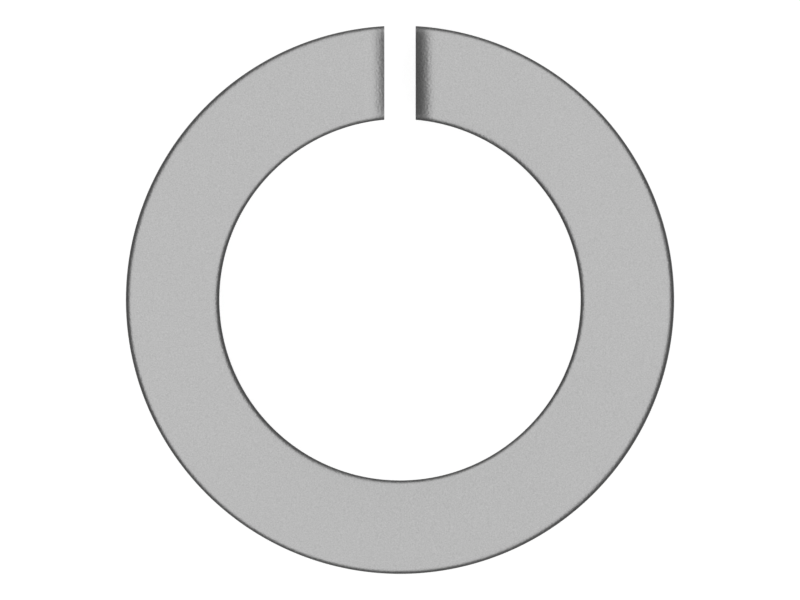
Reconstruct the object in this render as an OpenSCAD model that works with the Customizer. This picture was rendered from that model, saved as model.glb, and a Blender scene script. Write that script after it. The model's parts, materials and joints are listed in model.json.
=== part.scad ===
// Spring lock washer: one turn of square-section spring steel, sheared across at a gap.
// Millimetres, +Z up. The bore runs along Z, the gap is centred on +Y, and the lowest
// point of the washer is at z = 0. Seen from above, the low end is on the +X side of the
// gap and the coil climbs clockwise to the high end: left-hand, for right-hand threads.

/* [Ring] */
// Diameter of the bore that clears the bolt
bore_d = 8.1; // [7.6:0.05:8.8]
// Radial width of the section, so the outside diameter is the bore plus two of these
section_width = 2.1; // [1.8:0.05:2.5]
// Thickness of the section, measured along the bore
section_thickness = 2.1; // [1.8:0.05:2.4]
// Free height, from the underside of the low end to the top of the high end, as if the
// end faces still had square edges
free_height = 4.3; // [4.0:0.05:5.2]
// How far in from each wall the eased long edges reach over the flats
edge_width = 0.14; // [0.1:0.01:0.25]
// How far the eased edges drop below the flats where they meet the walls
edge_drop = 0.048; // [0.02:0.002:0.08]

/* [Gap] */
// Width of the gap between the two end faces, which are parallel
gap_width = 0.7; // [0.4:0.05:1.0]
// Length of the rolled-over edges, on top of both ends and under them
roll_length = 0.46; // [0.2:0.01:0.6]
// Depth of the rolled-over edges at the end faces
roll_depth = 0.1; // [0.03:0.005:0.2]

/* [Hidden] */
$fn = 180;

inner_r = bore_d / 2;
outer_r = inner_r + section_width;
half_gap = gap_width / 2;

// The coil is drawn through rings of points, numbered from the low end to the high end.
// Those by the gap lie parallel to its faces, those round the turn lie on radial planes,
// and a few between lead from the one to the other.
ROLL_STEPS = 8;
LEAD_STEPS = 6;
TURN_STEPS = 124;
END_STEPS = ROLL_STEPS + LEAD_STEPS;
LAST_RING = 2 * END_STEPS + TURN_STEPS;
LEAD_ANGLE = 4;
turn_start = asin((half_gap + roll_length) / inner_r) + LEAD_ANGLE;

// Angle of a point at radius r on ring i, clockwise from +Y as seen from above.
function end_angle(i, r) =
    i <= ROLL_STEPS
        ? asin((half_gap + roll_length * i / ROLL_STEPS) / r)
        : let (from = asin((half_gap + roll_length) / r))
            from + (turn_start - from) * (i - ROLL_STEPS) / LEAD_STEPS;
function angle_at(i, r) =
    i <= END_STEPS ? end_angle(i, r)
    : i >= LAST_RING - END_STEPS ? 360 - end_angle(LAST_RING - i, r)
    : turn_start + (360 - 2 * turn_start) * (i - END_STEPS) / TURN_STEPS;

// How far the top falls away, and the underside rises, where they roll over into an end
// face: a parabola that starts level, at the roll's length from the face.
function roll(i) =
    let (steps_in = min(i, LAST_RING - i))
    roll_depth * pow(max(0, 1 - steps_in / ROLL_STEPS), 2);

// Height of the underside at an angle. It starts from 0 at the low end's outer corner.
gap_angle = asin(half_gap / outer_r);
function climb(a) =
    (free_height - section_thickness) * (a - gap_angle) / (360 - 2 * gap_angle);

// One eased edge of the section, as points [outwards past the wall, inwards from the
// flat]: an arc that leaves the flat level and meets the wall at a corner. The last facet
// carries on past the wall, and stock lies beyond it, so that the true cylinders that cut
// the walls meet the edge at a clear angle.
EDGE_STEPS = 4;
OVERRUN = 3;
STOCK = 0.4;
edge_curve = (pow(edge_width, 2) + pow(edge_drop, 2)) / (2 * edge_drop);
edge_turn = 2 * atan(edge_drop / edge_width);
arc_points = [for (k = [0:EDGE_STEPS - 1])
    let (a = edge_turn * k / EDGE_STEPS)
        [edge_curve * sin(a) - edge_width, edge_curve * (1 - cos(a))]];
arc_end = arc_points[EDGE_STEPS - 1];
run_out = arc_end + OVERRUN * ([0, edge_drop] - arc_end);
corner = concat(arc_points, [run_out, [STOCK, run_out[1]]]);

// The whole section, as points [radius, distance from the flat, on top]: along the top
// from the bore outwards, then back along the underside, one point below each on top.
function reverse(list) = [for (k = [len(list) - 1:-1:0]) list[k]];
function outwards(on_top) = concat(
    reverse([for (p = corner) [inner_r - p[0], p[1], on_top]]),
    [for (p = corner) [outer_r + p[0], p[1], on_top]]);
section = concat(outwards(true), reverse(outwards(false)));
COUNT = len(section);

function on_ring(i, p) =
    let (a = angle_at(i, p[0]),
         drop = roll(i) + p[1],
         z = climb(a) + (p[2] ? section_thickness - drop : drop))
    [p[0] * sin(a), p[0] * cos(a), z];
points = [for (i = [0:LAST_RING]) for (p = section) on_ring(i, p)];
lowest = min([for (p = points) p[2]]);

function index(i, k) = i * COUNT + k % COUNT;
function two_triangles(a, b, c, d) = [[a, b, c], [a, c, d]];
skin = [for (i = [0:LAST_RING - 1]) for (k = [0:COUNT - 1]) each
    two_triangles(index(i, k), index(i, k + 1), index(i + 1, k + 1), index(i + 1, k))];
// An end face is a row of upright strips, each between a pair of points on top and the
// pair below them.
function strips(i) = [for (k = [0:COUNT / 2 - 2])
    [index(i, COUNT - 1 - k), index(i, COUNT - 2 - k), index(i, k + 1), index(i, k)]];
low_face = [for (q = strips(0)) each two_triangles(q[0], q[1], q[2], q[3])];
high_face = [for (q = strips(LAST_RING)) each two_triangles(q[3], q[2], q[1], q[0])];

module coil() {
    translate([0, 0, -lowest])
        polyhedron(points, concat(skin, low_face, high_face), convexity = 8);
}

// The coil between its two true walls.
module washer() {
    color([0.72, 0.73, 0.74])
        difference() {
            intersection() {
                coil();
                translate([0, 0, -STOCK])
                    cylinder(r = outer_r, h = free_height + 2 * STOCK);
            }
            translate([0, 0, -2 * STOCK])
                cylinder(r = inner_r, h = free_height + 4 * STOCK);
        }
}

washer();
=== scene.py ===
import json
import math

import bpy
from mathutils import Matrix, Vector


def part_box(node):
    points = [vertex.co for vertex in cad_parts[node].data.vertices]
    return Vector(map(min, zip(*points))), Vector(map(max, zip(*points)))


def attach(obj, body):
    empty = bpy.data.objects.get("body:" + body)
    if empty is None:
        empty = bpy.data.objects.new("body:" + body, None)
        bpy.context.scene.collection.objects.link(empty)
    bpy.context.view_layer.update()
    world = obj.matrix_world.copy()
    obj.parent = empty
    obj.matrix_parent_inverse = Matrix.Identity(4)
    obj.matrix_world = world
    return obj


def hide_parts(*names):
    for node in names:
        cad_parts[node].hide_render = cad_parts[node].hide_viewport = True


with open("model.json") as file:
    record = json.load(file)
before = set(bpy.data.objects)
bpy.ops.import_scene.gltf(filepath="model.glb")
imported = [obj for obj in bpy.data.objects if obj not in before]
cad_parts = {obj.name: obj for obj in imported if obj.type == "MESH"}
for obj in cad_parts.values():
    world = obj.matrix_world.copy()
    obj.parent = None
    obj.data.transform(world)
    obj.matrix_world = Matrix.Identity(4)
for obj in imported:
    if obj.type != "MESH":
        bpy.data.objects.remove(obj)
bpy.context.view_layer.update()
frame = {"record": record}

MM = 0.001

# The washer's sizes, in millimetres. Its walls and height come from the frame.
LOW, HIGH = (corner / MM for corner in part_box("washer"))
BORE = next(mount for mount in frame["record"]["mounts"] if mount["name"] == "bore")
BORE_R = BORE["dims"]["r_mm"]
OUTER_R = HIGH.x
MEAN_R = (OUTER_R + BORE_R) / 2
SECTION = OUTER_R - BORE_R
# How far the coil climbs from end to end, and half the gap between the ends.
RISE = 2.2
HALF_GAP = 0.35
# The eased long edges: how far in they reach over the flats, how far they drop to the
# walls, and the last sharpness taken off the corner there.
EDGE_WIDTH = 0.14
EDGE_DROP = 0.048
CORNER_BREAK = 0.007
# The edges that shearing rolled over: their length and depth, how far inside the walls
# they start to fade, and the share of the depth that they lose there.
ROLL_LENGTH = 0.46
ROLL_DEPTH = 0.1
FADE_WIDTH = 0.2
FADE = 0.24

# A whole turn and the part of it that the gap takes, in radians, and the climb of a whole
# turn.
TURN = 2 * math.pi
GAP_ANGLE = 2 * math.asin(HALF_GAP / OUTER_R)
PITCH = RISE * TURN / (TURN - GAP_ANGLE)

# Fineness of the mesh.
EDGE_STEPS = 6
CORNER_STEPS = 3
FACE_CUTS = 9
TURN_STEPS = 720
SMOOTH_ANGLE = math.radians(30)
# Points closer than this to a plane or a line lie on it, in millimetres.
NEAR = 1e-4

# Tones and roughnesses of the metal, before its marks change them.
STEEL_TONE = 0.443
STEEL_ROUGHNESS = 0.35
RUBBED_TONE = 0.47
RUBBED_ROUGHNESS = 0.33
TORN_TONE = 0.43
TORN_ROUGHNESS = 0.5
# Sizes of the marks, and depths of the relief, in millimetres.
GRAIN_SIZE = 0.028
DIMPLE_SIZE = 0.05
CLOUD_SIZE = 1.4
LINE_SIZE = 0.03
BROAD_LINE_SIZE = 0.15
SCRATCH_SIZE = 0.025
TEAR_SIZE = 0.09
RAGGED_SIZE = 0.3
STEEL_RELIEF = 0.0036
TORN_RELIEF = 0.03
# How quickly lines and scratches change along their length, as a share of how quickly they
# change across it, and how strong the lines are on the flats, as a share of the walls.
ALONG_LINE = 0.03
ALONG_BROAD_LINE = 0.02
LINES_ON_FLATS = 0.06
# How level the metal lies, from 0 for upright to 1 for flat, while the look of a wall gives
# way to that of a flat, and how far from level while painted shade grows in on tilting metal.
WALL_TO_FLAT = (0.05, 0.5)
FLAT_TO_ROLL_SHADE = (0.015, 0.09)
# How far inside a wall painted shade on the flat starts and is darkest, and how far from the
# middle of an end face torn metal gives way to the rubbed band, in millimetres.
EDGE_SHADE_FROM = 0.08
EDGE_SHADE_TO = 0.025
TORN_TO_RUBBED = (0.32, 0.42)

# The stage, in metres. Paint is how white a surface is, and glow is its own light, as the
# camera and the metal see it.
FLOOR_SIZE = 4
FLOOR_LEVEL = -0.01 * MM
FLOOR_PAINT = 0.7
FLOOR_GLOW = 0.72
BACKDROP_SIDES = 64
BACKDROP_RADIUS = 0.4
BACKDROP_HEIGHT = 0.12
BACKDROP_PAINT = 0.1
BACKDROP_GLOW = 1
ROOM_LIGHT = 0.24
LAMP_WIDTH = 0.158
LAMP_LENGTH = 0.32
LAMP_PLACE = (-0.004, 0.01, 0.15)
CAMERA_PLACE = (0, -0.005 * MM, 0.05)
# The ring's outside diameter as a share of the width of the view.
RING_SHARE = 0.6855


# ---------------------------------------------------------------- modelling

def places(mesh, kind):
    """The places of a mesh's vertices, or the middles of its edges or polygons."""
    if kind == "vertices":
        return [vertex.co for vertex in mesh.vertices]
    if kind == "edges":
        ends = [[mesh.vertices[end].co for end in edge.vertices] for edge in mesh.edges]
        return [(first + second) / 2 for first, second in ends]
    return [face.center for face in mesh.polygons]


def pick(kind, test):
    """Selects those vertices, edges or polygons of the active mesh whose place passes a test.

    Blender is left in edit mode.
    """
    modes = {"vertices": "VERT", "edges": "EDGE", "polygons": "FACE"}
    bpy.ops.object.mode_set(mode="EDIT")
    bpy.ops.mesh.select_mode(type=modes[kind])
    bpy.ops.mesh.select_all(action="DESELECT")
    bpy.ops.object.mode_set(mode="OBJECT")
    mesh = bpy.context.object.data
    for part, place in zip(getattr(mesh, kind), places(mesh, kind)):
        part.select = test(place)
    bpy.ops.object.mode_set(mode="EDIT")


def apply(piece, kind, **settings):
    """Puts a modifier on a piece and applies it."""
    modifier = piece.modifiers.new(kind.lower(), kind)
    for name, value in settings.items():
        setattr(modifier, name, value)
    bpy.ops.object.modifier_apply(modifier=modifier.name)


def extrude(y, z):
    """Draws a straight line on from the picked vertex."""
    bpy.ops.mesh.extrude_region_move(TRANSFORM_OT_translate={"value": (0, y, z)})


def make_section():
    """The outline of the section, standing where the coil starts.

    A quarter of it is drawn, from the middle of the top over the eased edge to the middle
    of the wall, and mirrored twice.
    """
    half = SECTION / 2
    flat = half - EDGE_WIDTH
    curve = (EDGE_WIDTH ** 2 + EDGE_DROP ** 2) / (2 * EDGE_DROP)
    bpy.ops.mesh.primitive_plane_add(size=SECTION)
    ring = bpy.context.object
    bpy.ops.object.mode_set(mode="EDIT")
    bpy.ops.mesh.merge(type="CENTER")
    bpy.ops.transform.translate(value=(0, 0, half))
    extrude(flat, 0)
    bpy.ops.mesh.spin(
        steps=EDGE_STEPS, angle=2 * math.atan(EDGE_DROP / EDGE_WIDTH), axis=(1, 0, 0),
        center=(0, flat, half - curve))
    extrude(0, EDGE_DROP - half)
    pick("vertices", lambda place: place.y > half - NEAR and place.z > NEAR)
    bpy.ops.mesh.bevel(affect="VERTICES", offset=CORNER_BREAK, segments=CORNER_STEPS)
    bpy.ops.object.mode_set(mode="OBJECT")
    apply(ring, "MIRROR", use_axis=(False, True, True), merge_threshold=NEAR)
    pick("edges", lambda place: abs(place.z) > half - NEAR)
    bpy.ops.mesh.subdivide(number_cuts=FACE_CUTS)
    pick("vertices", lambda place: True)
    bpy.ops.transform.translate(value=(0, MEAN_R, half - PITCH * GAP_ANGLE / 2 / TURN))
    bpy.ops.object.mode_set(mode="OBJECT")
    return ring


def wind(ring):
    """Sweeps the section round one turn, climbing clockwise as seen from above."""
    apply(ring, "SCREW", axis="Z", angle=-TURN, screw_offset=PITCH,
          steps=TURN_STEPS, render_steps=TURN_STEPS, use_merge_vertices=False)


def shear(ring, side):
    """Cuts an end off level with the gap. Side 1 is the low end and side -1 the high end."""
    pick("polygons", lambda place: place.y > 0 and 0 < side * place.x < MEAN_R / 2)
    bpy.ops.mesh.bisect(
        plane_co=(side * HALF_GAP, 0, 0), plane_no=(side, 0, 0), use_fill=True,
        clear_inner=True, threshold=NEAR / 10)
    bpy.ops.object.mode_set(mode="OBJECT")


def roll_edges(ring, side):
    """Rolls over the edges on top of an end and under it.

    Each edge goes down by most of the depth, and then its middle goes down by the rest.
    """
    def at_cut(place):
        return place.y > 0 and abs(place.x - side * HALF_GAP) < NEAR
    heights = [v.co.z for v in ring.data.vertices if at_cut(v.co)]
    middle = (min(heights) + max(heights)) / 2
    for up in (1, -1):
        for reach, share in ((SECTION, 1 - FADE), (SECTION / 2 - FADE_WIDTH, FADE)):
            pick("vertices", lambda place: at_cut(place) and up * (place.z - middle) > 0
                 and abs(math.hypot(place.x, place.y) - MEAN_R) < reach)
            bpy.ops.transform.translate(
                value=(0, 0, -up * ROLL_DEPTH * share), use_proportional_edit=True,
                proportional_edit_falloff="SHARP", proportional_size=ROLL_LENGTH)
    bpy.ops.object.mode_set(mode="OBJECT")


def set_down(ring):
    """Puts the lowest point level with the frame's, and turns the faces outwards."""
    foot = min(v.co.z for v in ring.data.vertices)
    pick("vertices", lambda place: True)
    bpy.ops.transform.translate(value=(0, 0, LOW.z - foot))
    bpy.ops.mesh.normals_make_consistent(inside=False)
    bpy.ops.object.mode_set(mode="OBJECT")


def paint_ring(ring):
    """Gives the ring its steel, and the flat faces by the gap their sheared look."""
    ring.data.materials.append(spring_steel())
    ring.data.materials.append(sheared_steel())
    pick("polygons", lambda place: place.y > 0 and abs(abs(place.x) - HALF_GAP) < NEAR)
    ring.active_material_index = 1
    bpy.ops.object.material_slot_assign()
    bpy.ops.object.mode_set(mode="OBJECT")


def make_ring():
    """The washer, modelled in millimetres and then brought to metres."""
    bpy.ops.object.select_all(action="DESELECT")
    ring = make_section()
    ring.name = ring.data.name = "spring_ring"
    wind(ring)
    for side in (1, -1):
        shear(ring, side)
        roll_edges(ring, side)
    set_down(ring)
    paint_ring(ring)
    bpy.ops.transform.resize(value=(MM, MM, MM))
    bpy.ops.object.transform_apply(location=True, rotation=True, scale=True)
    bpy.ops.object.shade_smooth_by_angle(angle=SMOOTH_ANGLE)
    apply(ring, "WEIGHTED_NORMAL", mode="FACE_AREA", weight=50, keep_sharp=True)
    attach(ring, "root")
    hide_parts("washer")


# ---------------------------------------------------------------- materials

class Shade:
    """A shader socket. The signs + - * on it add Math nodes, and node() adds any other."""

    def __init__(self, tree, socket=None):
        self.tree = tree
        self.socket = socket

    def __add__(self, other):
        return self.math("ADD", self, other)

    def __sub__(self, other):
        return self.math("SUBTRACT", self, other)

    def __rsub__(self, other):
        return self.math("SUBTRACT", other, self)

    def __mul__(self, other):
        return self.math("MULTIPLY", self, other)

    __radd__ = __add__
    __rmul__ = __mul__

    def math(self, operation, *values):
        """Adds a Math node."""
        return self.node("ShaderNodeMath", {"operation": operation}, values)

    def node(self, kind, settings, values, output=0):
        """Adds a node, sets it up, then fills its inputs with values or links."""
        made = self.tree.nodes.new(kind)
        for name, value in settings.items():
            setattr(made, name, value)
        pairs = values.items() if isinstance(values, dict) else enumerate(values)
        for key, value in pairs:
            if isinstance(value, Shade):
                self.tree.links.new(value.socket, made.inputs[key])
            else:
                made.inputs[key].default_value = value
        return Shade(self.tree, made.outputs[output])

    def out(self, name):
        """Another output of the same node."""
        return Shade(self.tree, self.socket.node.outputs[name])

    def to(self, shader, name):
        """Links the socket to an input of a shader."""
        self.tree.links.new(self.socket, shader.inputs[name])


def new_material(name):
    """A material, its surface shader, and a Shade that adds nodes to it."""
    material = bpy.data.materials.new(name)
    material.use_nodes = True
    return material, material.node_tree.nodes["Principled BSDF"], Shade(material.node_tree)


def millimetres(shade):
    """The place on the washer, whole and as its x, y and z."""
    place = shade.node("ShaderNodeTexCoord", {}, {}, "Object")
    place = shade.node(
        "ShaderNodeVectorMath", {"operation": "SCALE"}, {0: place, "Scale": 1 / MM})
    x = shade.node("ShaderNodeSeparateXYZ", {}, [place], "X")
    return place, x, x.out("Y"), x.out("Z")


def unwound(shade, x, y, z):
    """The place on the coil as if it were straight: across, up and along the wire."""
    across = shade.math("SQRT", x * x + y * y) - MEAN_R
    turn = shade.math("ARCTAN2", x * -1, y * -1) * (1 / TURN) + 0.5
    return across, z - turn * PITCH, turn * (TURN * MEAN_R)


def levelness(shade):
    """How level the metal lies, from 0 for upright to 1 for flat."""
    normal = shade.node("ShaderNodeTexCoord", {}, {}, "Normal")
    upward = shade.node("ShaderNodeSeparateXYZ", {}, [normal], "Z")
    return shade.math("ABSOLUTE", upward)


def vector(x, y, z):
    """One vector from three values, some of them plain numbers."""
    known = next(part for part in (x, y, z) if isinstance(part, Shade))
    return known.node("ShaderNodeCombineXYZ", {}, [x, y, z])


def noise(place, size, detail):
    """Random values about zero, in lumps of about this size in millimetres."""
    settings = {"Vector": place, "Scale": 1 / size, "Detail": detail}
    return place.node("ShaderNodeTexNoise", {}, settings) - 0.5


def rise(value, low, high):
    """Climbs smoothly from 0 to 1 while the value goes from low to high."""
    limits = {"Value": value, "From Min": low, "From Max": high}
    return value.node("ShaderNodeMapRange", {"interpolation_type": "SMOOTHSTEP"}, limits)


def grey(tone):
    """A tone as a colour."""
    return tone.node(
        "ShaderNodeVectorMath", {"operation": "SCALE"}, {0: (1, 1, 1), "Scale": tone})


def finish_metal(surface, tone, roughness, height, depth):
    """Links a metal's tone, roughness and relief. The depth of the relief is in millimetres."""
    surface.inputs["Metallic"].default_value = 1
    grey(tone).to(surface, "Base Color")
    roughness.to(surface, "Roughness")
    relief = {"Height": height, "Strength": 1, "Distance": depth * MM}
    height.node("ShaderNodeBump", {}, relief).to(surface, "Normal")


def drawing_lines(across, up, along):
    """Fine and broad lines that run a long way along the wire."""
    fine = noise(vector(across, up, along * ALONG_LINE), LINE_SIZE, 2)
    broad = noise(vector(across, up, along * ALONG_BROAD_LINE), BROAD_LINE_SIZE, 1)
    return fine + broad


def spring_steel():
    """Drawn wire, lightly tumbled: a fine grain all over, and drawing lines on the walls.

    Painted shade darkens the metal where it tilts from level, and the flats towards the walls.
    """
    material, surface, shade = new_material("spring_steel")
    place, x, y, z = millimetres(shade)
    across, up, along = unwound(shade, x, y, z)
    level = levelness(shade)
    wall = 1 - rise(level, *WALL_TO_FLAT)
    # Painted shade: the metal that tilts away from level, but not the walls, is made darker.
    roll_painted_shade = rise(1 - level, *FLAT_TO_ROLL_SHADE) * (1 - wall)
    off_middle = shade.math("ABSOLUTE", across)
    # Painted shade: the flats are darkened towards the walls.
    edge_painted_shade = rise(off_middle, SECTION / 2 - EDGE_SHADE_FROM, SECTION / 2 - EDGE_SHADE_TO) * (1 - wall)

    grain = noise(place, GRAIN_SIZE, 1)
    dimples = noise(place, DIMPLE_SIZE, 0)
    clouds = noise(place, CLOUD_SIZE, 3)
    lines = drawing_lines(across, up, along) * (LINES_ON_FLATS + (1 - LINES_ON_FLATS) * wall)
    tone = STEEL_TONE + 0.22 * grain + 0.03 * clouds + 0.09 * lines
    # Painted shade: the tone is darkened where the metal tilts and along the flats by the
    # walls.
    tone = tone * (1 - 0.22 * roll_painted_shade) * (1 - 0.35 * edge_painted_shade)
    roughness = STEEL_ROUGHNESS + 0.1 * grain + 0.08 * clouds + 0.12 * lines
    relief = dimples * (1 - 0.6 * wall) + 0.3 * grain + 0.5 * lines
    finish_metal(surface, tone, roughness, relief, STEEL_RELIEF)
    return material


def sheared_steel():
    """An end face: a band rubbed bright by the blade, and torn metal beyond it.

    The band lies under the top edge of the low end and over the bottom edge of the high
    end.
    """
    material, surface, shade = new_material("sheared_steel")
    place, x, y, z = millimetres(shade)
    side = shade.math("SIGN", x)
    off_middle = side * (z - HIGH.z / 2) + RISE / 2
    ragged = noise(vector(y, side, 0), RAGGED_SIZE, 3)
    rubbed = rise(off_middle + 0.4 * ragged, *TORN_TO_RUBBED)
    torn = 1 - rubbed

    scratches = noise(vector(y, side, z * ALONG_LINE), SCRATCH_SIZE, 2)
    tears = noise(vector(y, side, z), TEAR_SIZE, 5)
    tone = (RUBBED_TONE + 0.12 * scratches) * rubbed + (TORN_TONE + 0.3 * tears) * torn
    roughness = (RUBBED_ROUGHNESS + 0.15 * scratches) * rubbed
    roughness = roughness + (TORN_ROUGHNESS + 0.2 * tears) * torn
    relief = 0.06 * scratches * rubbed + tears * torn
    finish_metal(surface, tone, roughness, relief, TORN_RELIEF)
    return material


# ---------------------------------------------------------------- stage

def white_material(name, paint, glow):
    """White as the camera and the metal see it, with enough light of its own to stay so."""
    material, surface, shade = new_material(name)
    material.node_tree.nodes.remove(surface)
    camera = shade.node("ShaderNodeLightPath", {}, {}, "Is Camera Ray")
    seen = camera + camera.out("Is Glossy Ray") + camera.out("Is Transmission Ray")
    painted = shade.node("ShaderNodeBsdfDiffuse", {}, {"Color": (paint, paint, paint, 1)})
    glowing = shade.node("ShaderNodeEmission", {}, {"Strength": glow * seen})
    both = shade.node("ShaderNodeAddShader", {}, [painted, glowing])
    both.to(material.node_tree.nodes["Material Output"], "Surface")
    return material


def make_stage():
    """The floor, and far round it a low backdrop that whitens the view along the floor."""
    bpy.ops.mesh.primitive_plane_add(size=FLOOR_SIZE, location=(0, 0, FLOOR_LEVEL))
    floor = bpy.context.object
    floor.name = "floor"
    floor.data.materials.append(white_material("floor", FLOOR_PAINT, FLOOR_GLOW))
    bpy.ops.mesh.primitive_cylinder_add(
        vertices=BACKDROP_SIDES, radius=BACKDROP_RADIUS, depth=BACKDROP_HEIGHT,
        end_fill_type="NOTHING")
    backdrop = bpy.context.object
    backdrop.name = "backdrop"
    backdrop.data.materials.append(white_material("backdrop", BACKDROP_PAINT, BACKDROP_GLOW))


def make_camera():
    """A camera without perspective, straight above the bore."""
    data = bpy.data.cameras.new("camera")
    data.type = "ORTHO"
    data.ortho_scale = 2 * OUTER_R * MM / RING_SHARE
    data.clip_start = 0.001
    data.clip_end = 10
    camera = bpy.data.objects.new("camera", data)
    camera.location = CAMERA_PLACE
    bpy.context.scene.collection.objects.link(camera)
    bpy.context.scene.camera = camera


def make_light():
    """A softbox above the washer in a dim grey room."""
    world = bpy.data.worlds.new("studio")
    bpy.context.scene.world = world
    world.use_nodes = True
    room = world.node_tree.nodes["Background"]
    room.inputs["Color"].default_value = (1, 1, 1, 1)
    room.inputs["Strength"].default_value = ROOM_LIGHT
    lamp = bpy.data.lights.new("softbox", "AREA")
    lamp.shape = "RECTANGLE"
    lamp.size = LAMP_WIDTH
    lamp.size_y = LAMP_LENGTH
    lamp.energy = math.pi * LAMP_WIDTH * LAMP_LENGTH
    holder = bpy.data.objects.new("softbox", lamp)
    holder.location = LAMP_PLACE
    bpy.context.scene.collection.objects.link(holder)
    bpy.context.scene.view_settings.view_transform = "Standard"


make_ring()
make_stage()
make_camera()
make_light()
